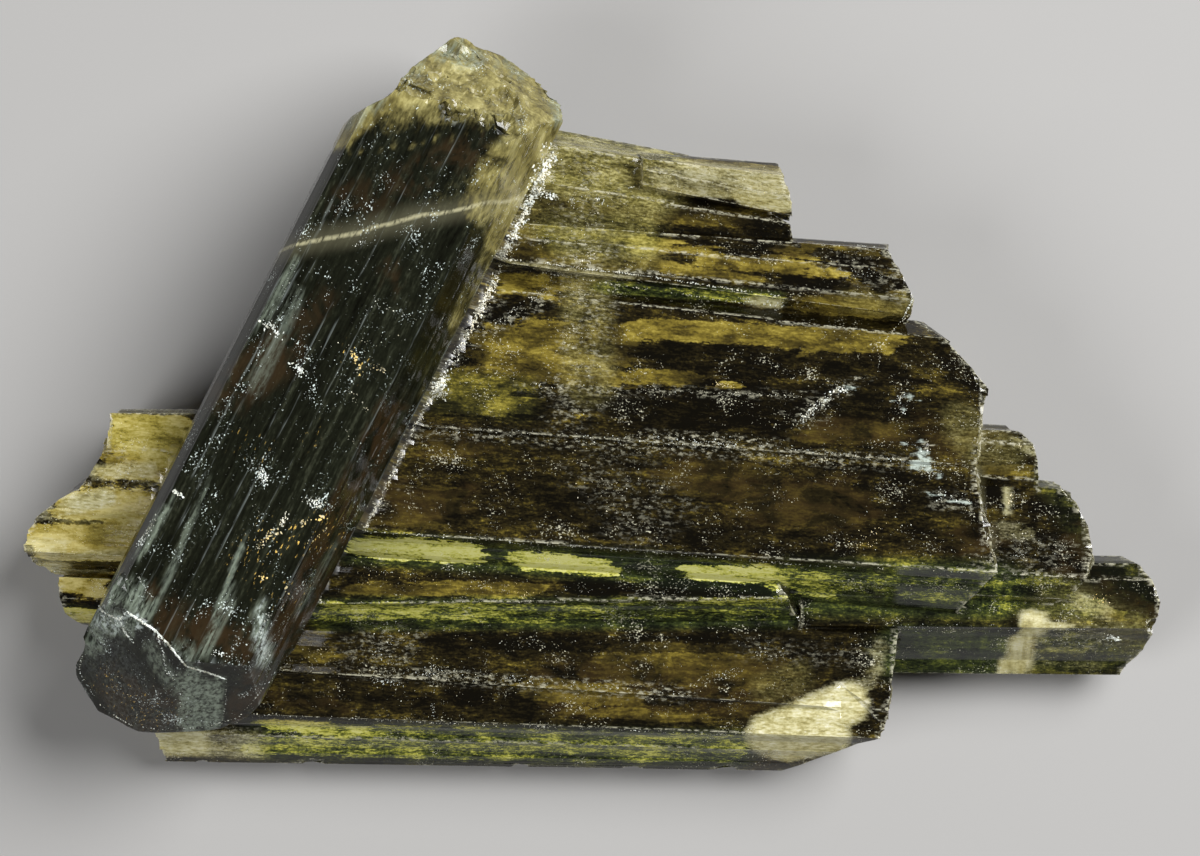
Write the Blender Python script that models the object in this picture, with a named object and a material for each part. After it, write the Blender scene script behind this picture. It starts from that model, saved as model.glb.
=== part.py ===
"""Epidote crystal group: striated prisms in parallel growth, with one stout crystal grown across them.

The group lies on its back. +X runs along the parallel prisms, +Y across them and +Z up.
Sizes are in millimetres in the constants and are turned into metres where a mesh is made.
"""

import math
import random
from collections import namedtuple

import bmesh
import bpy
from mathutils import Matrix, Vector

MM = 0.001
SEED = 7

# A rail is one long edge of a prism. y and z are where it passes x = 0, slope is its turn in plan,
# left and right are the x of its two ends.
Rail = namedtuple("Rail", "y slope z left right")

# Fine growth ledges that run along every prism.
STRIA_PITCH = 0.42
STRIA_DEPTH = 0.07

# The crystal that lies across the others.
CROSS_CENTRE = (-8.44, 1.07)
CROSS_TURN = math.radians(243.0)
CROSS_HALF_LENGTH = 11.8
CROSS_TOP = 8.2
CROSS_RIDGES = 25
CROSS_RIDGE_DEPTH = 0.15
CROSS_CROWN = 0.12
SEAT_GAP = 0.3
FLOOR_CUT_DEPTH = 3.0

PLATE_COLOUR = (0.20, 0.13, 0.035, 1.0)
CROSS_COLOUR = (0.035, 0.034, 0.028, 1.0)

UPPER_LEDGE = [
    Rail(8.82, -0.19, 2.40, -3.30, 2.70),
    Rail(8.34, -0.17, 3.60, -3.60, 3.00),
    Rail(7.14, -0.17, 3.90, -4.05, 5.76),
    Rail(5.64, -0.15, 3.70, -4.50, 6.00),
    Rail(5.64, -0.15, 1.50, -4.50, 6.00),
    Rail(8.04, -0.17, 1.20, -3.60, 3.60),
    Rail(8.64, -0.19, 1.60, -3.30, 2.70),
]
PALE_TIP = [
    Rail(8.49, -0.085, 3.20, 1.20, 5.40),
    Rail(8.28, -0.12, 4.20, 1.20, 5.58),
    Rail(7.98, -0.17, 4.50, 1.20, 5.79),
    Rail(7.56, -0.20, 4.20, 1.20, 5.88),
    Rail(7.38, -0.20, 3.30, 1.20, 5.73),
    Rail(8.04, -0.15, 2.40, 1.20, 5.55),
]
SECOND_STEP = [
    Rail(6.18, -0.067, 3.30, -4.80, 8.79),
    Rail(6.00, -0.070, 4.40, -4.95, 8.64),
    Rail(5.49, -0.080, 4.70, -5.10, 9.09),
    Rail(4.77, -0.094, 4.75, -5.25, 9.54),
    Rail(4.65, -0.135, 4.45, -5.25, 9.45),
    Rail(3.99, -0.11, 4.00, -5.40, 9.15),
    Rail(3.99, -0.11, 1.00, -5.40, 9.10),
    Rail(5.64, -0.070, 0.90, -5.10, 8.80),
    Rail(6.09, -0.067, 1.90, -4.80, 8.75),
]
MAIN_SLAB = [
    Rail(4.29, -0.11, 4.00, -6.75, 9.75),
    Rail(3.84, -0.11, 4.60, -6.96, 10.56),
    Rail(3.09, -0.11, 4.75, -7.35, 11.34),
    Rail(2.28, -0.10, 4.80, -7.77, 11.58),
    Rail(1.26, -0.08, 4.95, -8.30, 11.55),
    Rail(-0.33, -0.071, 5.00, -9.10, 11.43),
    Rail(-0.42, -0.071, 4.90, -9.15, 11.40),
    Rail(-2.16, -0.068, 5.00, -10.10, 11.64),
    Rail(-3.57, -0.065, 5.05, -10.80, 12.10),
    Rail(-5.07, -0.065, 3.10, -11.60, 10.80),
    Rail(-5.07, -0.065, 0.40, -11.60, 10.70),
    Rail(-3.96, -0.065, -0.50, -10.90, 11.60),
    Rail(-3.40, -0.068, -0.50, -10.70, 11.50),
    Rail(-3.20, -0.068, 0.35, -10.60, 11.50),
    Rail(-2.45, -0.070, 0.25, -10.20, 11.45),
    Rail(-2.30, -0.070, -0.50, -10.10, 11.40),
    Rail(0.95, -0.078, -0.50, -8.50, 11.40),
    Rail(1.10, -0.080, 0.30, -8.40, 11.40),
    Rail(1.70, -0.085, 0.45, -8.10, 11.30),
    Rail(1.85, -0.088, -0.50, -8.00, 11.30),
    Rail(2.94, -0.10, -0.50, -7.40, 11.10),
    Rail(3.84, -0.11, 0.60, -6.96, 10.40),
    Rail(4.26, -0.11, 1.80, -6.75, 9.70),
]
LEFT_BLOCK = [
    Rail(0.60, 0.0, 3.20, -14.52, -7.50),
    Rail(0.45, 0.0, 4.30, -14.79, -7.50),
    Rail(-0.96, -0.02, 4.55, -14.91, -7.50),
    Rail(-1.71, -0.03, 4.50, -15.27, -7.50),
    Rail(-2.46, -0.04, 4.35, -15.69, -7.50),
    Rail(-2.88, -0.045, 4.25, -16.29, -7.50),
    Rail(-3.54, -0.046, 4.00, -17.10, -7.50),
    Rail(-4.25, -0.046, 3.70, -17.43, -7.50),
    Rail(-4.52, -0.046, 3.85, -17.40, -7.50),
    Rail(-4.92, -0.046, 3.10, -17.22, -7.50),
    Rail(-5.22, -0.046, 2.40, -16.56, -7.50),
    Rail(-5.00, -0.046, 1.20, -16.70, -7.50),
    Rail(-3.50, -0.046, 0.80, -17.00, -7.50),
    Rail(-1.50, -0.03, 0.50, -15.20, -7.50),
    Rail(0.30, 0.0, 0.90, -14.60, -7.50),
]
LOWER_LEFT_BLOCK = [
    Rail(-5.16, -0.04, 3.00, -16.50, -9.00),
    Rail(-5.82, -0.04, 3.02, -16.47, -9.00),
    Rail(-6.30, -0.04, 2.60, -16.35, -9.00),
    Rail(-6.57, -0.04, 1.90, -16.00, -9.00),
    Rail(-6.69, -0.04, 1.30, -15.45, -9.00),
    Rail(-6.20, -0.04, 0.50, -15.90, -9.00),
    Rail(-5.00, -0.04, 0.40, -16.20, -9.00),
]
THIRD_STEP = [
    Rail(0.84, -0.06, 3.30, 8.40, 12.27),
    Rail(0.66, -0.06, 4.20, 8.40, 12.66),
    Rail(0.33, -0.06, 4.45, 8.40, 13.11),
    Rail(-0.17, -0.06, 4.50, 8.40, 13.23),
    Rail(-0.77, -0.06, 4.40, 8.40, 13.26),
    Rail(-1.36, -0.06, 4.00, 8.40, 13.20),
    Rail(-1.30, -0.06, 0.90, 8.40, 13.10),
    Rail(0.60, -0.06, 1.00, 8.40, 12.50),
]
FOURTH_STEP = [
    Rail(-0.89, -0.05, 3.50, 9.00, 13.74),
    Rail(-1.13, -0.05, 4.20, 9.00, 14.16),
    Rail(-1.49, -0.05, 4.30, 9.00, 14.58),
    Rail(-2.13, -0.05, 4.35, 9.00, 14.94),
    Rail(-2.90, -0.05, 4.30, 9.00, 15.09),
    Rail(-3.81, -0.05, 4.15, 9.00, 14.91),
    Rail(-4.50, -0.05, 3.70, 9.00, 14.40),
    Rail(-4.71, -0.05, 3.20, 9.00, 13.86),
    Rail(-4.50, -0.05, 0.70, 9.00, 14.00),
    Rail(-2.50, -0.05, 0.60, 9.00, 14.80),
    Rail(-1.00, -0.05, 1.20, 9.00, 13.80),
]
TONGUE = [
    Rail(-3.72, -0.01, 2.40, 6.00, 15.90),
    Rail(-3.93, -0.01, 3.20, 6.00, 16.35),
    Rail(-4.41, -0.01, 3.40, 6.00, 16.80),
    Rail(-5.07, -0.01, 3.40, 6.00, 17.04),
    Rail(-5.91, -0.01, 3.30, 6.00, 16.89),
    Rail(-6.66, -0.01, 2.30, 6.00, 16.47),
    Rail(-7.38, -0.01, 1.50, 6.00, 15.87),
    Rail(-7.17, -0.01, 0.90, 6.00, 15.66),
    Rail(-5.07, -0.01, 0.60, 6.00, 16.50),
    Rail(-3.87, -0.01, 1.00, 6.00, 15.84),
]
LOW_RIB = [
    Rail(-4.02, -0.065, 4.05, -11.10, 5.20),
    Rail(-5.20, 0.012, 4.00, -11.10, 5.70),
    Rail(-5.97, 0.022, 3.05, -11.10, 6.05),
    Rail(-5.97, 0.022, 2.50, -11.10, 6.05),
    Rail(-4.02, -0.065, 2.50, -11.10, 5.20),
]
LOWER_SLAB = [
    Rail(-5.04, -0.06, 3.00, -13.74, 9.15),
    Rail(-6.00, -0.03, 3.10, -13.74, 9.09),
    Rail(-7.98, -0.066, 3.25, -13.75, 8.79),
    Rail(-8.10, -0.066, 3.12, -13.75, 8.79),
    Rail(-9.09, -0.038, 3.10, -13.77, 8.61),
    Rail(-10.40, -0.015, 1.30, -13.32, 5.55),
    Rail(-10.20, -0.015, 0.50, -13.20, 5.40),
    Rail(-9.50, -0.03, -0.50, -13.50, 7.50),
    Rail(-8.30, -0.045, -0.50, -13.50, 7.90),
    Rail(-8.15, -0.045, 0.30, -13.50, 8.00),
    Rail(-7.35, -0.050, 0.20, -13.50, 8.20),
    Rail(-7.20, -0.050, -0.50, -13.50, 8.20),
    Rail(-5.16, -0.06, -0.50, -13.50, 8.80),
]
# Width of the narrow sloping face around the upper rim of each prism's ends.
RIM_WIDTHS = {
    "upper_ledge": 0.16,
    "pale_tip": 0.16,
    "second_step": 0.20,
    "main_slab": 0.26,
    "lower_left_block": 0.20,
    "third_step": 0.24,
    "fourth_step": 0.24,
    "tongue": 0.34,
    "lower_slab": 0.22,
}
# The first member is the one the others are joined to.
PLATE_MEMBERS = {
    "main_slab": MAIN_SLAB,
    "upper_ledge": UPPER_LEDGE,
    "pale_tip": PALE_TIP,
    "second_step": SECOND_STEP,
    "left_block": LEFT_BLOCK,
    "lower_left_block": LOWER_LEFT_BLOCK,
    "third_step": THIRD_STEP,
    "fourth_step": FOURTH_STEP,
    "tongue": TONGUE,
    "low_rib": LOW_RIB,
    "lower_slab": LOWER_SLAB,
}


def clear_scene():
    for obj in list(bpy.data.objects):
        bpy.data.objects.remove(obj)


def make_material(name, colour, roughness):
    material = bpy.data.materials.new(name)
    material.use_nodes = True
    shader = material.node_tree.nodes["Principled BSDF"]
    shader.inputs["Base Color"].default_value = colour
    shader.inputs["Roughness"].default_value = roughness
    shader.inputs["Metallic"].default_value = 0.0
    return material


def add_object(name, bm, parent, helper=False):
    """Turns a bmesh into an object under the specimen's empty. A helper is a cutter or an operand."""
    bmesh.ops.recalc_face_normals(bm, faces=bm.faces)
    mesh = bpy.data.meshes.new(name)
    bm.to_mesh(mesh)
    bm.free()
    obj = bpy.data.objects.new(name, mesh)
    bpy.context.scene.collection.objects.link(obj)
    obj.parent = parent
    if helper:
        obj.hide_render = True
        obj.display_type = "WIRE"
    return obj


def add_boolean(obj, operation, members):
    """Adds one EXACT Boolean for each member, so that a skipped one is easy to find."""
    for member in members:
        modifier = obj.modifiers.new(f"{operation.lower()}_{member.name}", "BOOLEAN")
        modifier.operation = operation
        modifier.solver = "EXACT"
        modifier.object = member


def between(first, second, share):
    """The rail that lies this share of the way from the first rail to the second."""
    return Rail(*(a + (b - a) * share for a, b in zip(first, second)))


def striated(rails, chance):
    """Adds shallow ledges between neighbouring rails where the face between them is wide."""
    result = []
    for first, second in zip(rails, rails[1:] + rails[:1]):
        result.append(first)
        width = math.hypot(second.y - first.y, second.z - first.z)
        faces_down = second.y > first.y
        if faces_down or width < 2 * STRIA_PITCH:
            continue
        across = Vector((second.y - first.y, second.z - first.z)).normalized()
        inward = Vector((across.y, -across.x))
        if inward.y > 0:
            inward.negate()
        count = int(width / STRIA_PITCH)
        for step in range(1, count):
            rail = between(first, second, step / count + chance.uniform(-0.2, 0.2) / count)
            depth = STRIA_DEPTH * chance.uniform(0.2, 1.0) * (step % 2)
            result.append(rail._replace(y=rail.y + inward.x * depth, z=rail.z + inward.y * depth))
    return result


def rail_point(rail, x):
    return Vector((x, rail.y + rail.slope * x, rail.z)) * MM


def prism_from_rails(rails):
    """A closed prism whose end faces follow the rails' own ends."""
    bm = bmesh.new()
    lefts = [bm.verts.new(rail_point(rail, rail.left)) for rail in rails]
    rights = [bm.verts.new(rail_point(rail, rail.right)) for rail in rails]
    bm.faces.new(lefts)
    bm.faces.new(rights)
    for i in range(len(rails)):
        j = (i + 1) % len(rails)
        bm.faces.new((lefts[i], lefts[j], rights[j], rights[i]))
    bmesh.ops.recalc_face_normals(bm, faces=bm.faces)
    return bm


def bevel_rims(bm, width):
    """Bevels the upper edges of both end faces of a prism, then splits what is left of those faces."""
    caps = [face for face in bm.faces if len(face.verts) > 4]
    if width > 0:
        rims = []
        for cap in caps:
            middle = cap.calc_center_median().z
            rims += [edge for edge in cap.edges if min(vert.co.z for vert in edge.verts) > middle]
        bmesh.ops.bevel(
            bm,
            geom=rims,
            offset=width * MM,
            offset_type="OFFSET",
            affect="EDGES",
            segments=1,
            profile=0.5,
            material=-1,
            clamp_overlap=True,
        )
    bmesh.ops.triangulate(bm, faces=[face for face in bm.faces if len(face.verts) > 4])


def cross_section(grow, ridged, chance):
    """The outline of the crossing crystal, seen along its length: across, then up."""
    left, right = -2.45, 1.95
    outline = [(-2.92, 6.3), (-2.78, 7.45)]
    ridges = CROSS_RIDGES if ridged else 1
    for i in range(ridges + 1):
        share = i / ridges
        across = left + (right - left) * share
        height = CROSS_TOP + CROSS_CROWN * math.sin(math.pi * share)
        if ridged and 0 < i < ridges:
            across += chance.uniform(-0.05, 0.05)
            height -= CROSS_RIDGE_DEPTH * chance.random() ** 2 * (1.1 - 0.6 * share)
        outline.append((across, height))
    outline += [(2.35, 7.3), (2.88, 6.1), (2.55, 4.3), (1.5, 3.45), (-1.5, 3.4), (-2.6, 4.5)]
    middle = Vector((0.0, 5.8))
    grown = []
    for point in outline:
        arm = Vector(point) - middle
        grown.append(middle + arm * (1 + grow / arm.length))
    return grown


def cross_place():
    """The matrix that lays the crossing crystal, built along +X, over the parallel prisms."""
    centre = Vector((*CROSS_CENTRE, 0.0)) * MM
    return Matrix.Translation(centre) @ Matrix.Rotation(CROSS_TURN, 4, "Z")


def cross_prism(grow, ridged, chance):
    """The crossing crystal along +X, its terminated end at +X. Plus Y here is the side that the bevel is on."""
    bm = bmesh.new()
    half = CROSS_HALF_LENGTH + grow
    outline = cross_section(grow, ridged, chance)
    ring = [bm.verts.new(Vector((-half, point[0], point[1])) * MM) for point in outline]
    face = bm.faces.new(ring)
    grown = bmesh.ops.extrude_face_region(bm, geom=[face])
    moved = [item for item in grown["geom"] if isinstance(item, bmesh.types.BMVert)]
    bmesh.ops.translate(bm, verts=moved, vec=Vector((2 * half * MM, 0, 0)))
    bmesh.ops.recalc_face_normals(bm, faces=bm.faces)
    return bm


def cut_plane(bm, point, normal):
    """Removes what is on the side the normal points to, and closes the cut."""
    geometry = list(bm.verts) + list(bm.edges) + list(bm.faces)
    cut = bmesh.ops.bisect_plane(
        bm,
        geom=geometry,
        dist=1e-7,
        plane_co=Vector(point) * MM,
        plane_no=Vector(normal).normalized(),
        clear_outer=True,
    )
    edges = [item for item in cut["geom_cut"] if isinstance(item, bmesh.types.BMEdge)]
    bmesh.ops.holes_fill(bm, edges=edges, sides=0)


# Flat faces of the crossing crystal's terminated end and the break at its other end: a point, then the
# direction the face looks in, both along the crystal, across it and up.
CROSS_FACES = [
    ((8.75, -0.4, 8.2), (0.72, -0.22, 0.66)),
    ((8.80, 0.4, 8.2), (0.74, 0.34, 0.58)),
    ((10.4, 2.2, 6.5), (0.80, 0.60, 0.10)),
    ((10.9, -2.5, 5.5), (0.85, -0.52, 0.10)),
    ((11.2, 0.0, 4.4), (0.80, 0.05, -0.60)),
    ((-7.85, -2.92, 6.3), (-0.45, -0.89, 0.05)),
    ((-9.4, -0.6, 8.2), (-0.78, -0.12, 0.61)),
    ((-9.9, 0.9, 8.2), (-0.84, 0.20, 0.50)),
    ((-11.2, 0.0, 5.4), (-0.96, 0.16, 0.22)),
]


def chip(place, radius, stretch, chance):
    """A lumpy ball that breaks a shell-shaped flake away."""
    bm = bmesh.new()
    bmesh.ops.create_icosphere(bm, subdivisions=2, radius=radius * MM)
    for vert in bm.verts:
        vert.co *= 1 + chance.uniform(-0.12, 0.12)
    turn = Matrix.Rotation(chance.uniform(0, math.tau), 4, "Z") @ Matrix.Rotation(chance.uniform(0, 1.0), 4, "X")
    scale = Matrix.Diagonal((stretch, 1.0, 0.8, 1.0))
    bmesh.ops.transform(bm, matrix=Matrix.Translation(Vector(place) * MM) @ turn @ scale, verts=bm.verts)
    return bm


# Rows of flakes broken away along worn edges: where a row starts and ends, how many flakes and their radius.
FlakeRow = namedtuple("FlakeRow", "start end count radius")
PLATE_FLAKES = [
    FlakeRow((-15.0, 0.3, 4.9), (-15.3, -1.6, 4.9), 3, 0.42),
    FlakeRow((-15.7, -1.9, 4.8), (-17.2, -3.1, 4.5), 4, 0.48),
    FlakeRow((-17.7, -3.5, 4.2), (-17.7, -4.8, 4.0), 2, 0.42),
    FlakeRow((-16.9, -5.5, 3.3), (-16.2, -6.6, 2.1), 3, 0.42),
    FlakeRow((-13.9, -9.9, 2.7), (-13.6, -10.5, 1.3), 2, 0.45),
    FlakeRow((-12.0, -10.5, 1.2), (4.0, -10.7, 1.2), 6, 0.36),
    FlakeRow((6.4, -10.7, 2.0), (8.9, -9.6, 3.3), 3, 0.55),
    FlakeRow((10.2, 3.3, 5.2), (12.0, 2.2, 5.2), 3, 0.52),
    FlakeRow((11.9, 1.4, 5.3), (12.1, -1.6, 5.4), 3, 0.46),
    FlakeRow((12.9, 0.5, 4.8), (13.5, -0.3, 4.7), 2, 0.40),
    FlakeRow((14.4, -1.5, 4.8), (15.4, -2.7, 4.7), 2, 0.50),
    FlakeRow((16.6, -3.9, 3.8), (17.4, -5.1, 3.8), 2, 0.45),
    FlakeRow((17.1, -6.3, 3.3), (16.2, -7.6, 2.1), 2, 0.50),
]
# Single wide, shallow flakes: the middle and the radius.
PLATE_SHELLS = [((7.6, -9.0, 4.75), 2.0), ((9.9, -0.5, 5.75), 0.95), ((-14.7, -2.9, 5.3), 1.25)]
CROSS_FLAKES = [
    FlakeRow((-8.0, -3.1, 7.6), (-10.8, -1.8, 7.4), 4, 0.42),
    FlakeRow((-9.6, -2.2, 8.4), (-10.0, 2.5, 8.4), 6, 0.62),
    FlakeRow((-10.6, -1.9, 7.6), (-10.9, 2.2, 7.6), 5, 0.70),
    FlakeRow((-11.4, -1.5, 6.2), (-11.7, 2.3, 6.0), 5, 0.66),
    FlakeRow((-11.9, -0.6, 4.9), (-12.0, 2.0, 4.6), 3, 0.70),
    FlakeRow((7.9, -2.9, 8.2), (9.9, -3.3, 6.7), 3, 0.55),
    FlakeRow((11.5, -1.2, 6.6), (11.8, 0.9, 6.3), 2, 0.45),
]
CROSS_SHELLS = [((-11.5, 0.6, 8.9), 1.7), ((-10.3, -1.9, 9.0), 1.1), ((10.9, -2.1, 8.6), 1.6)]


def flake_places(rows, shells, chance):
    """The middle and the radius of every flake, each a little off its place in the row."""
    places = list(shells)
    for row in rows:
        start, end = Vector(row.start), Vector(row.end)
        for number in range(row.count):
            shift = Vector(chance.uniform(-0.12, 0.12) for _ in range(3))
            middle = start.lerp(end, number / (row.count - 1)) + shift
            places.append((middle, row.radius * chance.uniform(0.85, 1.2)))
    return places


def make_chips(name, places, parent, chance):
    chips = []
    for number, (place, radius) in enumerate(places):
        bm = chip(place, radius, chance.uniform(1.0, 1.5), chance)
        chips.append(add_object(f"{name}_{number}", bm, parent, helper=True))
    return chips


def floor_cutter(parent):
    """Everything under z = 0 is cut away, which leaves the flat back that the group rests on."""
    bm = bmesh.new()
    bmesh.ops.create_cube(bm, size=1.0)
    size = Matrix.Diagonal((60 * MM, 60 * MM, FLOOR_CUT_DEPTH * MM, 1.0))
    drop = Matrix.Translation((0, 0, -FLOOR_CUT_DEPTH * MM / 2))
    bmesh.ops.transform(bm, matrix=drop @ size, verts=bm.verts)
    return add_object("floor_cutter", bm, parent, helper=True)


def build_plate(parent, chance):
    """The parallel prisms, joined in one solid, with the seat of the crossing crystal cut in it."""
    members = []
    for name, rails in PLATE_MEMBERS.items():
        bm = prism_from_rails(striated(rails, chance))
        bevel_rims(bm, RIM_WIDTHS.get(name, 0.0))
        members.append(add_object(name, bm, parent, helper=bool(members)))
    plate = members[0]
    plate.name = "parallel_prisms"
    seat = cross_prism(SEAT_GAP, False, chance)
    bmesh.ops.transform(seat, matrix=cross_place(), verts=seat.verts)
    seat = add_object("seat_cutter", seat, parent, helper=True)
    places = flake_places(PLATE_FLAKES, PLATE_SHELLS, chance)
    chips = make_chips("plate_chip", places, parent, chance)
    add_boolean(plate, "UNION", members[1:])
    add_boolean(plate, "DIFFERENCE", [seat, floor_cutter(parent)] + chips)
    plate.data.materials.append(make_material("plate_epidote", PLATE_COLOUR, 0.15))
    return plate


def build_cross(parent, chance):
    """The stout crystal that grew across the others."""
    bm = cross_prism(0.0, True, chance)
    for point, normal in CROSS_FACES:
        cut_plane(bm, point, normal)
    bmesh.ops.triangulate(bm, faces=[face for face in bm.faces if len(face.verts) > 4])
    crystal = add_object("crossing_crystal", bm, parent)
    places = flake_places(CROSS_FLAKES, CROSS_SHELLS, chance)
    chips = make_chips("cross_chip", places, parent, chance)
    for flake in chips:
        flake.data.transform(cross_place())
    crystal.data.transform(cross_place())
    add_boolean(crystal, "DIFFERENCE", chips)
    crystal.data.materials.append(make_material("cross_epidote", CROSS_COLOUR, 0.12))
    return crystal


def stand_on_origin(specimen, solids):
    """Moves the group so that the origin is the middle of its bounding box, at the height of its back."""
    bpy.context.view_layer.update()
    graph = bpy.context.evaluated_depsgraph_get()
    corners = []
    for obj in solids:
        mesh = obj.evaluated_get(graph).to_mesh()
        corners += [obj.matrix_world @ vert.co for vert in mesh.vertices]
        obj.evaluated_get(graph).to_mesh_clear()
    low = Vector(min(corner[axis] for corner in corners) for axis in range(3))
    high = Vector(max(corner[axis] for corner in corners) for axis in range(3))
    specimen.location = (-(low.x + high.x) / 2, -(low.y + high.y) / 2, -low.z)


def main():
    clear_scene()
    chance = random.Random(SEED)
    specimen = bpy.data.objects.new("specimen", None)
    bpy.context.scene.collection.objects.link(specimen)
    plate = build_plate(specimen, chance)
    crystal = build_cross(specimen, chance)
    stand_on_origin(specimen, [plate, crystal])


main()
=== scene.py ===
import math
import random

import bmesh
import bpy
import numpy as np
from mathutils import Matrix, Vector, noise
from mathutils.bvhtree import BVHTree


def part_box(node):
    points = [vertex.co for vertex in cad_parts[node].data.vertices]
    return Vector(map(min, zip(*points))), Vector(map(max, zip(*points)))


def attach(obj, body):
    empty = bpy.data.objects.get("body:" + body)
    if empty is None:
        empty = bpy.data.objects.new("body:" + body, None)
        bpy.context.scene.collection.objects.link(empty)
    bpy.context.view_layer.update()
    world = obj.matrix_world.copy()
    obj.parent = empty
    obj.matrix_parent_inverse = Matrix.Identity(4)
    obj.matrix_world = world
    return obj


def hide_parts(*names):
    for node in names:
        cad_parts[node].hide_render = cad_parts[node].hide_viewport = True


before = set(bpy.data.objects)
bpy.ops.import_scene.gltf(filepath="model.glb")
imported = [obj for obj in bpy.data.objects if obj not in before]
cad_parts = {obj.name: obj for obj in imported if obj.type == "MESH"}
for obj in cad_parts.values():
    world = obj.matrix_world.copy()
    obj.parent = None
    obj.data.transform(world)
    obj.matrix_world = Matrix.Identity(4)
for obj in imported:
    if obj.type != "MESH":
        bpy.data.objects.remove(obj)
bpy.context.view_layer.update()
mm = 0.001
print("frame loaded")

# lengths are millimetres, but marks on the faces are placed by the pixels of the photograph, which
# is 1200 wide and 856 high, counted to the right and down, because that is where they were measured
photo = {
    "pixel": 0.03,
    "middle": (600.0, 428.0),
    "middleInFrame": (0.2335, -0.7967),
}


def spot(right, down):  # a pixel, in millimetres of the frame
    x = (right - photo["middle"][0]) * photo["pixel"] + photo["middleInFrame"][0]
    y = (photo["middle"][1] - down) * photo["pixel"] + photo["middleInFrame"][1]
    return x, y


studio = {
    "viewHeight": 5.0,  # height at which the picture's width is measured
    "pictureWidth": 36.0,
    "lens": 200.0,
    "sensor": 36.0,
    "clip": (0.01, 10.0),  # metres
    "floorSize": 3000.0,
    "floorColour": (0.205, 0.202, 0.197, 1.0),
    "floorRoughness": 0.7,
    "worldColour": (0.96, 0.97, 1.0, 1.0),
    "worldStrength": 0.07,
    "lamps": {  # place, size and watts of each soft lamp
        "keyLamp": ((163, 102, 230), 210, 2.45),
        "fillLamp": ((-185, -100, 200), 170, 0.7),
    },
}


def setCamera():
    data = bpy.data.cameras.new("photoCamera")
    data.sensor_width = studio["sensor"]
    data.lens = studio["lens"]
    data.clip_start, data.clip_end = studio["clip"]
    camera = bpy.data.objects.new("photoCamera", data)
    bpy.context.scene.collection.objects.link(camera)
    distance = studio["lens"] * studio["pictureWidth"] / studio["sensor"]
    camera.location = Vector((*photo["middleInFrame"], studio["viewHeight"] + distance)) * mm
    bpy.context.scene.camera = camera


def addLamp(name, place, size, watts):
    data = bpy.data.lights.new(name, "AREA")
    data.shape = "DISK"
    data.size = size * mm
    data.energy = watts
    lamp = bpy.data.objects.new(name, data)
    lamp.location = Vector(place) * mm
    lamp.rotation_mode = "QUATERNION"
    lamp.rotation_quaternion = (-Vector(place)).to_track_quat("-Z", "Y")
    bpy.context.scene.collection.objects.link(lamp)


def makeStudio():
    world = bpy.data.worlds.new("softRoom")
    world.use_nodes = True
    setSockets(world.node_tree.nodes["Background"], {
        "Color": studio["worldColour"], "Strength": studio["worldStrength"]})
    bpy.context.scene.world = world
    for name, (place, size, watts) in studio["lamps"].items():
        addLamp(name, place, size, watts)
    bm = bmesh.new()
    bmesh.ops.create_grid(bm, x_segments=1, y_segments=1, size=studio["floorSize"] / 2 * mm)
    floor = pieceFromBmesh("floor", bm)
    material, tree, shader = newMaterial("palePaper")
    setSockets(shader, {"Base Color": studio["floorColour"], "Roughness": studio["floorRoughness"]})
    floor.data.materials.append(material)
    bpy.context.scene.view_settings.view_transform = "Standard"


def newMaterial(name):
    material = bpy.data.materials.new(name)
    material.use_nodes = True
    return material, material.node_tree, material.node_tree.nodes["Principled BSDF"]


def setSockets(node, values):
    for name, value in values.items():
        node.inputs[name].default_value = value


def pieceFromBmesh(name, bm):
    mesh = bpy.data.meshes.new(name)
    bm.to_mesh(mesh)
    bm.free()
    piece = bpy.data.objects.new(name, mesh)
    bpy.context.scene.collection.objects.link(piece)
    return piece


def finishPiece(piece, material, node=None):
    piece.data.materials.append(material)
    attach(piece, "root")
    if node:
        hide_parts(node)
    print(piece.name, "ready,", len(piece.data.polygons), "faces")


# mesh work that both crystals share

def mergedCopy(nodeName):  # the node's mesh is loose triangles, so the copy is merged
    bm = bmesh.new()
    bm.from_mesh(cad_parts[nodeName].data)
    bmesh.ops.remove_doubles(bm, verts=bm.verts, dist=0.002 * mm)
    bmesh.ops.dissolve_degenerate(bm, dist=0.001 * mm, edges=bm.edges)
    return bm


def slicePlanes(bm, planes):  # new edges where each plane passes, nothing is removed
    for point, normal in planes:
        geometry = bm.verts[:] + bm.edges[:] + bm.faces[:]
        bmesh.ops.bisect_plane(bm, geom=geometry, dist=1e-7, plane_co=point * mm, plane_no=normal)


def makeLines(low, high, gap, chance):  # places of the fine ledges and how deep each one is
    places, depths = [], []
    place = low
    while place < high:
        places.append(place)
        depths.append(chance.random() ** 2.5)
        place += gap * chance.uniform(0.5, 1.6)
    return np.array(places), np.array(depths)


def depthAt(lines, place):
    return float(np.interp(place, *lines, left=0.0, right=0.0))


def ledgeMove(settings, lines, x, place, z, normal, ended):  # into the crystal, across its length
    across, upward = lines
    alongScale, acrossScale = settings["patches"]
    patchy = 0.5 + 0.5 * noise.noise(Vector((x * alongScale, place * acrossScale, z)))
    flat = normal.z ** 2
    depth = depthAt(across, place) * flat + depthAt(upward, z) * (1 - flat)
    depth *= settings["ledgeDepth"] * (0.3 + patchy) * (1 - ended)
    return Vector((0, -normal.y, -normal.z)) * depth


def smoothStep(low, high, value):
    share = min(max((value - low) / (high - low), 0.0), 1.0)
    return share * share * (3 - 2 * share)


def markRidges(bm, smallestTurn):  # ridges that stand out get a mark that later cuts keep
    for edge in bm.edges:
        ridge = edge.is_manifold and edge.calc_face_angle_signed() > math.radians(smallestTurn)
        edge.smooth = not ridge


def ridgeValues(bm):
    return [max([0.0 if edge.smooth else 1.0 for edge in vert.link_edges]) for vert in bm.verts]


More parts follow.
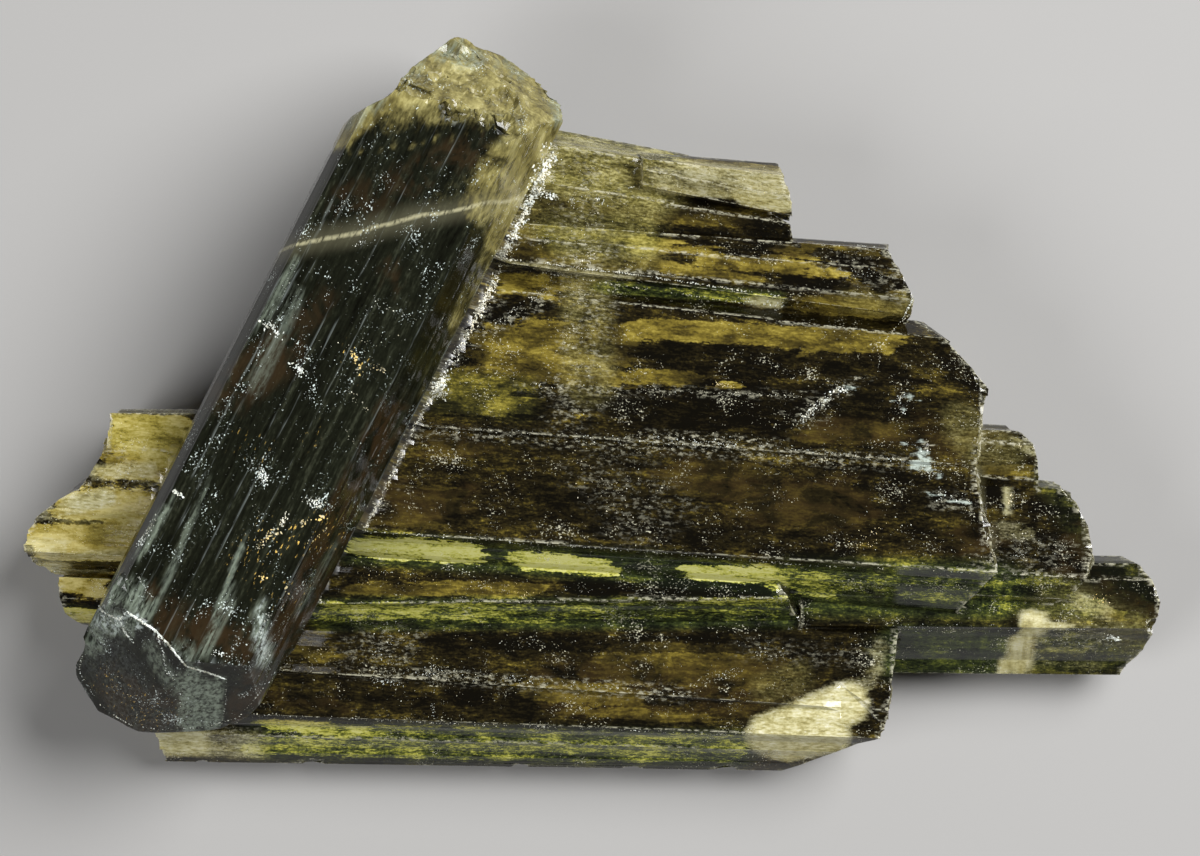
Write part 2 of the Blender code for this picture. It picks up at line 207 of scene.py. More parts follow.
def setAttribute(mesh, name, values, kind="FLOAT"):
    layer = mesh.attributes.new(name=name, type=kind, domain="POINT")
    field = "vector" if kind == "FLOAT_VECTOR" else "value"
    layer.data.foreach_set(field, np.asarray(values, dtype=np.float32).ravel())


def strokeValues(strokes, places, outer=1.3, band=0.6, even=False):
    result = np.zeros(len(places))  # a stroke: two ends, half its width, its strength in hundredths
    for startRight, startDown, endRight, endDown, half, strength in strokes:
        start = np.array(spot(startRight, startDown))
        arm = np.array(spot(endRight, endDown)) - start
        share = np.clip((places - start) @ arm / max(arm @ arm, 1e-9), 0, 1)
        away = np.linalg.norm(places - start - share[:, None] * arm, axis=1)
        inside = np.clip((outer - away / (half * photo["pixel"])) / band, 0, 1)
        if not even:
            inside = strength / 100 * inside * inside * (3 - 2 * inside)
        result = np.maximum(result, inside)
    return result


# how far strokes reach and over how much of that they fade, in half widths
softStrokes = {"tan": (2.0, 1.3), "cream": (1.5, 0.8), "mist": (1.5, 0.8), "green": (1.5, 0.8)}
cutStroke = (1.75, 0.35)
cutBorder = (1.45, 0.9)


def paintStrokes(piece, tables, shift):
    mesh = piece.data
    places = np.empty(len(mesh.vertices) * 3)
    mesh.vertices.foreach_get("co", places)
    places = places.reshape(-1, 3)[:, :2] / mm
    slid = places + shift
    for name, strokes in tables.items():
        if name in softStrokes:
            values = strokeValues(strokes, places, *softStrokes[name])
        elif name in ("light", "shade"):  # the material cuts these along a border of their own
            values = strokeValues(strokes, slid, *cutStroke)
            setAttribute(mesh, name + "Border", strokeValues(strokes, slid, *cutBorder, True))
        else:
            values = strokeValues(strokes, slid)
        setAttribute(mesh, name, values)


def raggedShift(acrossPlaces, rowWidths, reaches, seed):  # rows of fibres slide past each other
    shift = np.zeros(len(acrossPlaces))
    count = 4096
    rows = np.random.default_rng(seed).uniform(-1, 1, count)
    for width, reach in zip(rowWidths, reaches):
        row = np.floor(np.array(acrossPlaces) / width) + count // 2
        shift += rows[row.astype(int) % count] * reach
    return shift


def pulledIn(places, outline):  # places outside a closed outline move to its nearest edge
    corners = np.array([spot(*place) for place in outline])
    inside = np.zeros(len(places), dtype=bool)
    nearest, least = places.copy(), np.full(len(places), np.inf)
    for start, end in zip(corners, np.roll(corners, -1, axis=0)):
        arm = end - start
        share = np.clip((places - start) @ arm / (arm @ arm), 0, 1)
        foot = start + share[:, None] * arm
        away = np.linalg.norm(places - foot, axis=1)
        closer = away < least
        least[closer], nearest[closer] = away[closer], foot[closer]
        passes = (start[1] > places[:, 1]) != (end[1] > places[:, 1])
        side = start[0] + arm[0] * (places[:, 1] - start[1]) / (arm[1] or 1e-9)
        inside ^= passes & (places[:, 0] < side)
    return np.where(inside[:, None], places, nearest)


def trimToOutline(bm, outline):  # the outline is drawn as seen from the camera, so height counts
    middle = np.array(photo["middleInFrame"])
    cos = np.array([vert.co / mm for vert in bm.verts])
    reach = studio["lens"] * studio["pictureWidth"] / studio["sensor"]
    closeness = (reach / (reach + studio["viewHeight"] - cos[:, 2]))[:, None]
    seen = middle + (cos[:, :2] - middle) * closeness
    cos[:, :2] = middle + (pulledIn(seen, outline) - middle) / closeness
    for vert, co in zip(bm.verts, cos):
        vert.co = Vector(co) * mm


# the plate of parallel prisms

plate = {
    "name": "parallelPrisms",
    "node": "parallel_prisms",
    "slot": "plate_epidote",
    "seed": 11,
    "crossCuts": 120,  # cuts across the prisms
    "ledgeGap": 0.13,
    "ledgeDepth": 0.045,
    "sideLedgeGap": 0.22,
    "patches": (0.22, 2.3),  # the ledges are deeper in patches: how dense along and across
    "endTurn": (0.45, 0.8),  # how squarely a face has to look along X to be an end
    "ridgeTurn": 16.0,  # degrees
    "breakDepth": 0.18,
    "raggedRows": (0.11, 0.37),  # widths of the rows of fibres that end at different places
    "raggedReach": (0.28, 0.34),
    "seatReach": 0.42,  # the seat's walls this near to the dark crystal close up to it
    "seatGap": 0.02,
    "fanPlaces": (-10.5, -6.0, -3.0, 0.0, 3.0, 6.0, 9.0),  # the prisms fan out, place by place
    "fanSlopes": (-0.02, -0.045, -0.066, -0.072, -0.10, -0.13, -0.18),
}

plateStrokes = {
    "light": [  # painted light: clear golden windows and thin places that let light through, their glow painted into the colour
        (530, 150, 650, 180, 34, 40), (520, 235, 640, 243, 24, 35), (560, 195, 640, 215, 18, 38),
        (642, 243, 680, 241, 7, 75), (520, 232, 560, 230, 6, 57), (545, 262, 620, 272, 5, 44),
        (670, 160, 790, 170, 6, 60), (700, 256, 790, 268, 9, 58), (690, 250, 724, 251, 6, 70),
        (786, 251, 800, 253, 9, 53), (806, 266, 838, 270, 9, 79), (640, 262, 770, 280, 5, 48),
        (806, 302, 885, 309, 10, 55), (852, 292, 905, 302, 13, 40), (815, 246, 885, 250, 7, 48),
        (505, 283, 545, 288, 12, 66), (560, 284, 640, 288, 7, 44), (490, 352, 545, 352, 30, 55),
        (455, 378, 530, 380, 12, 50), (560, 345, 612, 350, 24, 35), (626, 329, 775, 337, 11, 70),
        (780, 338, 880, 344, 12, 58), (626, 376, 690, 379, 8, 62), (540, 374, 620, 380, 8, 44),
        (712, 385, 732, 386, 4, 106), (792, 355, 816, 346, 4, 62), (805, 428, 895, 433, 13, 30),
        (430, 400, 520, 404, 12, 42), (380, 505, 440, 510, 20, 24), (740, 500, 840, 505, 24, 14),
        (430, 440, 470, 442, 14, 22), (680, 480, 740, 480, 20, 16), (965, 420, 978, 440, 14, 26),
        (1000, 468, 1040, 470, 6, 40), (1035, 485, 1085, 500, 10, 20), (110, 420, 190, 423, 10, 115),
        (105, 440, 185, 445, 16, 98), (100, 465, 170, 467, 16, 105), (75, 505, 150, 505, 16, 122),
        (35, 535, 80, 538, 14, 133), (80, 540, 130, 536, 18, 120), (30, 556, 120, 557, 6, 125),
        (62, 590, 95, 592, 10, 140), (58, 580, 112, 579, 5, 125), (58, 617, 92, 619, 9, 130),
        (350, 590, 420, 592, 7, 62), (430, 588, 530, 592, 8, 50), (530, 690, 640, 700, 12, 50),
        (620, 665, 780, 672, 20, 32), (305, 650, 330, 655, 12, 35), (560, 715, 700, 722, 6, 40),
        (362, 546, 480, 553, 12, 138), (522, 560, 612, 568, 10, 125), (692, 572, 770, 577, 9, 135),
        (772, 577, 826, 586, 14, 55), (826, 582, 880, 588, 9, 12), (884, 586, 985, 598, 13, 22),
        (960, 590, 1080, 600, 20, 16), (325, 612, 480, 612, 9, 60), (480, 614, 640, 613, 9, 22),
        (640, 612, 780, 613, 9, 16), (690, 602, 775, 601, 3, 75), (255, 730, 340, 735, 8, 95),
        (250, 750, 480, 757, 10, 66), (340, 737, 740, 748, 10, 46), (480, 758, 740, 760, 9, 42),
        (600, 290, 780, 298, 5, 44), (640, 212, 790, 218, 9, 36), (1090, 604, 1112, 615, 9, 45),
        (1045, 655, 1110, 655, 22, 22),
    ],
    "shade": [  # deep, dark places
        (548, 214, 600, 222, 6, 40), (625, 208, 780, 222, 5, 25), (690, 230, 792, 239, 7, 38),
        (700, 244, 785, 247, 5, 25), (662, 200, 735, 206, 5, 36), (790, 212, 797, 224, 7, 90),
        (835, 258, 892, 280, 13, 70), (792, 281, 850, 287, 6, 70), (640, 303, 780, 317, 7, 55),
        (790, 318, 890, 325, 4, 50), (485, 315, 530, 300, 13, 60), (636, 352, 700, 352, 9, 45),
        (720, 357, 790, 360, 9, 32), (700, 370, 790, 374, 6, 45), (530, 405, 640, 408, 14, 40),
        (640, 410, 900, 400, 22, 42), (830, 372, 900, 382, 12, 40), (840, 468, 905, 477, 11, 60),
        (850, 500, 960, 503, 18, 35), (600, 525, 850, 548, 12, 30), (470, 480, 560, 490, 16, 22),
        (560, 590, 765, 591, 8, 75), (430, 640, 830, 650, 9, 50), (265, 700, 330, 703, 8, 10),
        (1055, 510, 1095, 560, 20, 55), (1090, 575, 1150, 600, 22, 75), (778, 584, 802, 608, 4, 120),
        (940, 350, 978, 395, 16, 50), (985, 480, 1010, 500, 12, 50), (1040, 520, 1060, 560, 14, 30),
        (640, 568, 686, 573, 9, 22), (800, 630, 890, 640, 12, 40), (905, 625, 1000, 628, 6, 40),
    ],
    "green": [
        (350, 547, 480, 556, 15, 100), (480, 556, 640, 568, 14, 100), (640, 568, 790, 582, 15, 100),
        (790, 588, 1000, 592, 26, 95), (1000, 592, 1090, 600, 20, 60), (320, 616, 790, 614, 14, 100),
        (600, 286, 780, 298, 6, 95), (250, 745, 740, 754, 18, 92), (905, 655, 1005, 660, 26, 95),
        (530, 150, 650, 170, 34, 35), (560, 230, 640, 236, 20, 25), (1050, 655, 1140, 650, 22, 50),
        (430, 390, 520, 400, 20, 20), (110, 420, 190, 450, 22, 15), (60, 617, 92, 619, 9, 60),
        (1060, 480, 1140, 600, 20, 40),
    ],
    "rust": [  # reddish-brown depths
        (380, 500, 440, 505, 24, 90), (820, 428, 895, 433, 14, 90), (740, 500, 840, 505, 26, 80),
        (560, 690, 780, 690, 28, 70), (1080, 540, 1095, 590, 18, 90), (1110, 590, 1150, 620, 16, 90),
        (680, 470, 740, 480, 22, 60), (430, 440, 470, 442, 16, 80), (960, 540, 990, 545, 14, 80),
        (790, 255, 800, 262, 10, 80), (920, 430, 980, 450, 20, 50), (265, 700, 330, 710, 10, 60),
    ],
    "cream": [  # cloudy, cream-coloured places
        (664, 172, 790, 184, 15, 56), (745, 196, 786, 203, 8, 80), (664, 188, 730, 193, 5, 60),
        (752, 300, 784, 303, 5, 70), (1016, 442, 1034, 450, 6, 50), (770, 738, 850, 706, 20, 100),
        (790, 752, 838, 742, 14, 100), (758, 744, 790, 758, 10, 80), (862, 700, 884, 650, 9, 40),
        (1041, 620, 1026, 676, 7, 100), (1034, 618, 1010, 676, 7, 100), (1082, 602, 1112, 614, 9, 45),
        (1070, 628, 1028, 626, 3.5, 80), (1050, 655, 1100, 660, 16, 22), (70, 504, 104, 498, 9, 100),
        (95, 472, 150, 470, 8, 60), (30, 557, 118, 556, 5, 65), (32, 571, 56, 569, 7, 80),
        (112, 411, 190, 411, 4, 50), (152, 746, 192, 748, 13, 100), (195, 748, 248, 750, 13, 42),
        (36, 515, 60, 512, 8, 40), (545, 150, 600, 145, 12, 25), (570, 140, 660, 150, 6, 40),
        (20, 545, 60, 550, 9, 50), (1010, 490, 1010, 512, 4, 60), (1000, 530, 1030, 532, 9, 35),
        (60, 575, 100, 573, 3, 50), (500, 262, 640, 278, 3, 45),
    ],
    "mist": [  # evenly milky, olive places
        (545, 155, 640, 185, 34, 100), (525, 215, 635, 225, 18, 50), (575, 245, 640, 250, 20, 40),
        (585, 290, 590, 380, 22, 45), (100, 530, 130, 525, 15, 80), (60, 520, 90, 515, 8, 40),
        (960, 420, 978, 450, 16, 40), (995, 440, 1010, 455, 14, 30), (850, 300, 900, 308, 10, 30),
        (770, 690, 800, 680, 14, 30), (175, 430, 150, 480, 14, 40), (1060, 600, 1150, 640, 20, 25),
        (205, 748, 250, 750, 14, 40), (905, 300, 912, 305, 6, 40),
    ],
    "veil": [  # fine pale haze and scratches
        (548, 150, 500, 256, 9, 90), (500, 262, 428, 396, 6, 80), (428, 396, 362, 526, 2, 70),
        (592, 150, 572, 410, 22, 55), (600, 250, 585, 265, 12, 90), (430, 432, 920, 462, 7, 60),
        (640, 440, 770, 446, 9, 90), (520, 385, 800, 396, 4, 60), (400, 676, 690, 696, 8, 70),
        (800, 420, 842, 384, 8, 80), (480, 335, 545, 292, 6, 80), (940, 500, 972, 502, 10, 60),
        (365, 655, 395, 650, 24, 50), (1045, 640, 1115, 640, 12, 50), (1000, 560, 1060, 560, 20, 40),
        (600, 480, 650, 510, 34, 30), (200, 748, 250, 748, 14, 60), (110, 470, 140, 500, 18, 50),
        (845, 265, 890, 275, 14, 45), (900, 290, 912, 296, 8, 70), (750, 650, 860, 660, 10, 30),
    ],
    "flash": [  # painted reflections: inner cracks that flash white
        (921, 443, 926, 478, 5, 90), (928, 456, 944, 468, 6, 100), (930, 472, 938, 474, 5, 90),
        (938, 494, 966, 503, 5, 90), (900, 397, 907, 406, 6, 80), (834, 389, 848, 388, 4, 80),
    ],
}


def slopeAt(place):
    return float(np.interp(place, plate["fanPlaces"], plate["fanSlopes"]))


def fanPlace(x, y):  # where the ledge through this point passes x = 0
    place = y
    for step in range(4):  # comes close enough in four rounds
        place = y - slopeAt(place) * x
    return place


def makePlate(crossTree):
    chance = random.Random(plate["seed"])
    bm = mergedCopy(plate["node"])
    markRidges(bm, plate["ridgeTurn"])
    low, high = [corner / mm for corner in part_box(plate["node"])]
    planes = []
    for cut in range(plate["crossCuts"]):
        share = (cut + chance.uniform(0.2, 0.8)) / plate["crossCuts"]
        planes.append((Vector((low.x + (high.x - low.x) * share, 0, 0)), Vector((1, 0, 0))))
    across = makeLines(low.y - 2, high.y + 3, plate["ledgeGap"], chance)
    upward = makeLines(0.05, high.z, plate["sideLedgeGap"], chance)
    planes += [(Vector((0, 0, place)), Vector((0, 0, 1))) for place in upward[0]]
    for place in across[0]:
        planes.append((Vector((0, place, 0)), Vector((-slopeAt(place), 1, 0)).normalized()))
    slicePlanes(bm, planes)
    bmesh.ops.triangulate(bm, faces=bm.faces)
    ridges = ridgeValues(bm)

    bm.normal_update()
    moves, broken, grain = [], [], []
    for vert in bm.verts:
        x, y, z = vert.co / mm
        place = fanPlace(x, y)
        grain.append((x, place, z))
        normal = vert.normal
        ended = smoothStep(*plate["endTurn"], abs(normal.x))
        broken.append(ended)
        splinter = abs(noise.cell(Vector((7.0, place * 3.1, z * 2.3))))
        crumble = abs(noise.fractal(Vector((x, y, z)) * 1.7, 0.6, 2.0, 4))
        cut = ended * plate["breakDepth"] * (0.5 * splinter + 0.5 * crumble)
        ledge = ledgeMove(plate, (across, upward), x, place, z, normal, ended)
        moves.append((ledge - normal * cut) * mm)
    for vert, move in zip(bm.verts, moves):
        vert.co += move
    closed = closeSeat(bm, crossTree)
    keepInBox(bm, plate["node"])
    tree = BVHTree.FromBMesh(bm)
    piece = pieceFromBmesh(plate["name"], bm)
    setAttribute(piece.data, "ridge", ridges)
    setAttribute(piece.data, "broken", broken)
    setAttribute(piece.data, "seat", closed)
    setAttribute(piece.data, "grain", grain, "FLOAT_VECTOR")
    ragged = raggedShift([item[1] for item in grain], plate["raggedRows"], plate["raggedReach"], 3)
    paintStrokes(piece, plateStrokes, np.column_stack((ragged, 0.1 * ragged)))
    return piece, tree


def closeSeat(bm, crossTree):  # the seat's walls come up to the crystal that grew in it
    reach, gap = plate["seatReach"] * mm, plate["seatGap"] * mm
    closed = []
    for vert in bm.verts:
        nearest, normal, face, away = crossTree.find_nearest(vert.co, reach)
        closed.append(0.0 if nearest is None else 1.0)
        if nearest is not None and away > gap:
            vert.co = nearest + (vert.co - nearest).normalized() * gap
    return closed


def keepInBox(bm, nodeName):
    low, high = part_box(nodeName)
    for vert in bm.verts:
        vert.co = Vector(min(max(place, a), b) for place, a, b in zip(vert.co, low, high))


# the stout crystal across them

cross = {
    "name": "crossingCrystal",
    "node": "crossing_crystal",
    "slot": "cross_epidote",
    "seed": 5,
    "centre": (-8.2065, 0.2733),
    "turn": 243.0,  # degrees, from +X to its terminated end
    "crossCuts": 90,
    "reach": 11.6,  # the cuts crowd towards both ends
    "crowding": 1.5,
    "ledgeGap": 0.10,
    "ledgeDepth": 0.02,
    "evening": 0.6,  # how far the broad ledges of the upper face are evened out
    "topHeight": 8.2,
    "crown": 0.12,
    "faceLeft": -2.45,
    "faceRight": 1.95,
    "sideLedgeGap": 0.16,
    "patches": (0.25, 2.6),
    "endTurn": (0.35, 0.6),
    "ledgesAcross": (-3.0, 3.0),
    "ledgesUpward": (3.3, 8.4),
    "ridgeTurn": 20.0,
    "breakDepth": 0.16,
    "breakStart": -8.6,  # the broken end, along the crystal
    "raggedRows": (0.13, 0.40),
    "raggedReach": (0.12, 0.14),
}

crossOutline = [  # the rounded end and the ragged break; the long sides stand clear
    (230, 240), (325, 158), (334, 146), (334, 133), (345, 121), (358, 112), (366, 107), (378, 101),
    (385, 99), (392, 93), (398, 86), (401, 78), (408, 75), (411, 66), (417, 60), (428, 55),
    (435, 52), (437, 45), (443, 40), (450, 38), (458, 37), (466, 39), (472, 43), (477, 49),
    (487, 50), (500, 55), (512, 61), (519, 65), (530, 68), (543, 68), (553, 70), (563, 82),
    (568, 93), (571, 102), (577, 111), (571, 116), (567, 126), (600, 160), (420, 600),
    (292, 652), (284, 660), (277, 674), (266, 694), (262, 702), (252, 713), (243, 719), (232, 723),
    (222, 728), (205, 731), (180, 732), (158, 733), (140, 732), (128, 727), (120, 722), (104, 714),
    (98, 711), (92, 701), (85, 692), (79, 684), (76, 674), (76, 664), (82, 654), (86, 646), (60, 560),
]

crossStrokes = {
    "tan": [  # the pale translucent break and the olive side face
        (345, 136, 400, 92, 12, 100), (400, 88, 455, 56, 19, 100), (455, 62, 540, 82, 24, 100),
        (430, 88, 525, 100, 16, 90), (540, 100, 546, 132, 14, 100), (548, 124, 508, 240, 15, 100),
        (375, 122, 500, 112, 13, 45), (512, 120, 520, 160, 10, 50), (346, 159, 420, 149, 1.2, 35),
        (420, 149, 498, 132, 1.2, 40), (500, 165, 480, 210, 14, 55), (502, 240, 458, 330, 9, 42),
        (454, 330, 428, 395, 7, 18), (560, 90, 565, 120, 12, 70), (470, 185, 440, 205, 8, 25),
    ],
    "haze": [  # cool, lighter places
        (122, 578, 150, 603, 12, 100), (198, 684, 198, 716, 17, 100), (215, 684, 212, 716, 12, 100),
        (98, 610, 130, 622, 14, 80), (112, 590, 100, 640, 11, 70), (247, 545, 210, 650, 3, 80),
        (172, 505, 150, 545, 6, 70), (300, 300, 262, 385, 9, 35), (265, 612, 270, 650, 8, 60),
        (190, 640, 200, 652, 8, 50), (215, 480, 165, 600, 3, 50), (235, 600, 210, 650, 6, 40),
        (160, 640, 180, 680, 8, 50), (300, 265, 270, 320, 5, 50), (340, 540, 300, 610, 3, 25),
        (560, 92, 566, 118, 10, 90), (446, 46, 474, 56, 13, 80), (402, 78, 420, 70, 8, 60),
        (352, 122, 385, 103, 7, 60), (235, 252, 325, 165, 5, 50), (500, 62, 540, 74, 6, 50),
    ],
    "brown": [
        (395, 410, 285, 640, 15, 90), (185, 615, 240, 640, 22, 80), (235, 390, 290, 350, 22, 70),
        (430, 170, 475, 150, 16, 70), (262, 680, 245, 705, 16, 80), (350, 205, 420, 180, 18, 50),
        (120, 690, 165, 710, 26, 55), (300, 330, 330, 300, 12, 50), (390, 270, 400, 285, 8, 60),
        (160, 590, 180, 600, 8, 70),
    ],
    "glint": [  # painted glints: gold and orange inner cracks that catch the light
        (265, 540, 330, 528, 18, 100), (355, 350, 372, 372, 8, 90), (110, 680, 160, 712, 18, 70),
        (240, 560, 300, 590, 12, 60), (315, 430, 322, 436, 5, 90), (240, 430, 275, 445, 8, 40),
    ],
    "chipped": [
        (96, 606, 122, 622, 8, 50), (128, 614, 150, 620, 3, 80), (110, 650, 150, 720, 26, 4),
        (265, 615, 270, 650, 6, 50),
    ],
}


def crossMatrix():  # from the crystal's own axes to the frame, in metres
    middle = Matrix.Translation(Vector((*cross["centre"], 0)) * mm)
    return middle @ Matrix.Rotation(math.radians(cross["turn"]), 4, "Z")


def evenHeight(y):  # the upper face without its broad ledges
    share = (y - cross["faceLeft"]) / (cross["faceRight"] - cross["faceLeft"])
    if not 0 < share < 1:
        return None
    return cross["topHeight"] + cross["crown"] * math.sin(math.pi * share) - 0.03


def makeCross():
    chance = random.Random(cross["seed"])
    bm = mergedCopy(cross["node"])
    bmesh.ops.transform(bm, matrix=crossMatrix().inverted(), verts=bm.verts)
    markRidges(bm, cross["ridgeTurn"])
    planes = []
    for cut in range(cross["crossCuts"]):
        share = (cut + chance.uniform(0.2, 0.8)) / cross["crossCuts"] * 2 - 1
        place = cross["reach"] * math.copysign(1 - (1 - abs(share)) ** cross["crowding"], share)
        planes.append((Vector((place, 0, 0)), Vector((1, 0, 0))))
    across = makeLines(*cross["ledgesAcross"], cross["ledgeGap"], chance)
    upward = makeLines(*cross["ledgesUpward"], cross["sideLedgeGap"], chance)
    planes += [(Vector((0, 0, place)), Vector((0, 0, 1))) for place in upward[0]]
    planes += [(Vector((0, place, 0)), Vector((0, 1, 0))) for place in across[0]]
    slicePlanes(bm, planes)
    bmesh.ops.triangulate(bm, faces=bm.faces)
    ridges = ridgeValues(bm)

    bm.normal_update()
    toFrame = crossMatrix()
    places = np.array([(toFrame @ vert.co)[:2] for vert in bm.verts]) / mm
    chipped = strokeValues(crossStrokes["chipped"], places)
    moves, broken, acrossPlaces = [], [], []
    for vert, chip in zip(bm.verts, chipped):
        x, y, z = vert.co / mm
        acrossPlaces.append(y)
        normal = vert.normal
        ended = smoothStep(*cross["endTurn"], abs(normal.x))
        rough = ended if x < cross["breakStart"] else 0.10 * ended
        rough = max(rough, 0.5 * chip)
        broken.append(rough)
        crumble = abs(noise.fractal(Vector((x, y, z)) * 1.2, 0.6, 2.0, 4))
        sugar = abs(noise.noise(Vector((x, y, z)) * 6.0))
        cell = abs(noise.cell(Vector((x, y, z)) * 2.1))
        cut = rough * cross["breakDepth"] * (0.25 * cell + 0.6 * crumble + 0.25 * sugar)
        move = ledgeMove(cross, (across, upward), x, y, z, normal, ended) - normal * cut
        even = evenHeight(y)
        if even and z > cross["topHeight"] - 0.35:
            move.z += (even - z) * cross["evening"] * (1 - smoothStep(0.0, 0.3, ended))
        moves.append(move * mm)
    for vert, move in zip(bm.verts, moves):
        vert.co += move
    bmesh.ops.transform(bm, matrix=toFrame, verts=bm.verts)
    trimToOutline(bm, crossOutline)
    keepInBox(bm, cross["node"])
    tree = BVHTree.FromBMesh(bm)
    piece = pieceFromBmesh(cross["name"], bm)
    setAttribute(piece.data, "ridge", ridges)
    setAttribute(piece.data, "broken", broken)
    ragged = raggedShift(acrossPlaces, cross["raggedRows"], cross["raggedReach"], 4)
    along = np.array((math.cos(math.radians(cross["turn"])), math.sin(math.radians(cross["turn"]))))
    paintStrokes(piece, crossStrokes, ragged[:, None] * along)
    return piece, tree


# crumbs: crust along the contact, bright flecks along ridges, dust on the faces, and painted golden glints,
# which are the warm, honey-coloured crumbs

crust = {
    "name": "contactCrust",
    "slot": "plate_epidote",
    "seed": 21,
    "scale": 0.42,
    "density": 2.2,
}
crustTrails = [  # path, half its width, how many, sizes in microns, warmth in tenths
    ((550, 148, 543, 172, 533, 190), 7, 130, 60, 170, 2), ((548, 160, 556, 152), 5, 40, 50, 120, 1),
    ((533, 190, 556, 196), 3, 36, 50, 120, 1), ((533, 190, 524, 212, 512, 240), 6, 130, 50, 140, 1.5),
    ((512, 240, 499, 256), 4, 50, 40, 100, 1.5), ((501, 264, 484, 302, 467, 336), 5, 230, 40, 100, 3),
    ((466, 336, 446, 374, 433, 398), 5, 210, 40, 100, 2), ((434, 386, 444, 396), 6, 40, 40, 90, 1),
    ((430, 398, 403, 450, 381, 500, 365, 528), 2.5, 230, 30, 60, 3),
]
dustAndGlints = {
    "name": "brightFlecks",
    "slot": "plate_epidote",
    "seed": 22,
    "scale": 0.50,
    "density": 0.85,
}
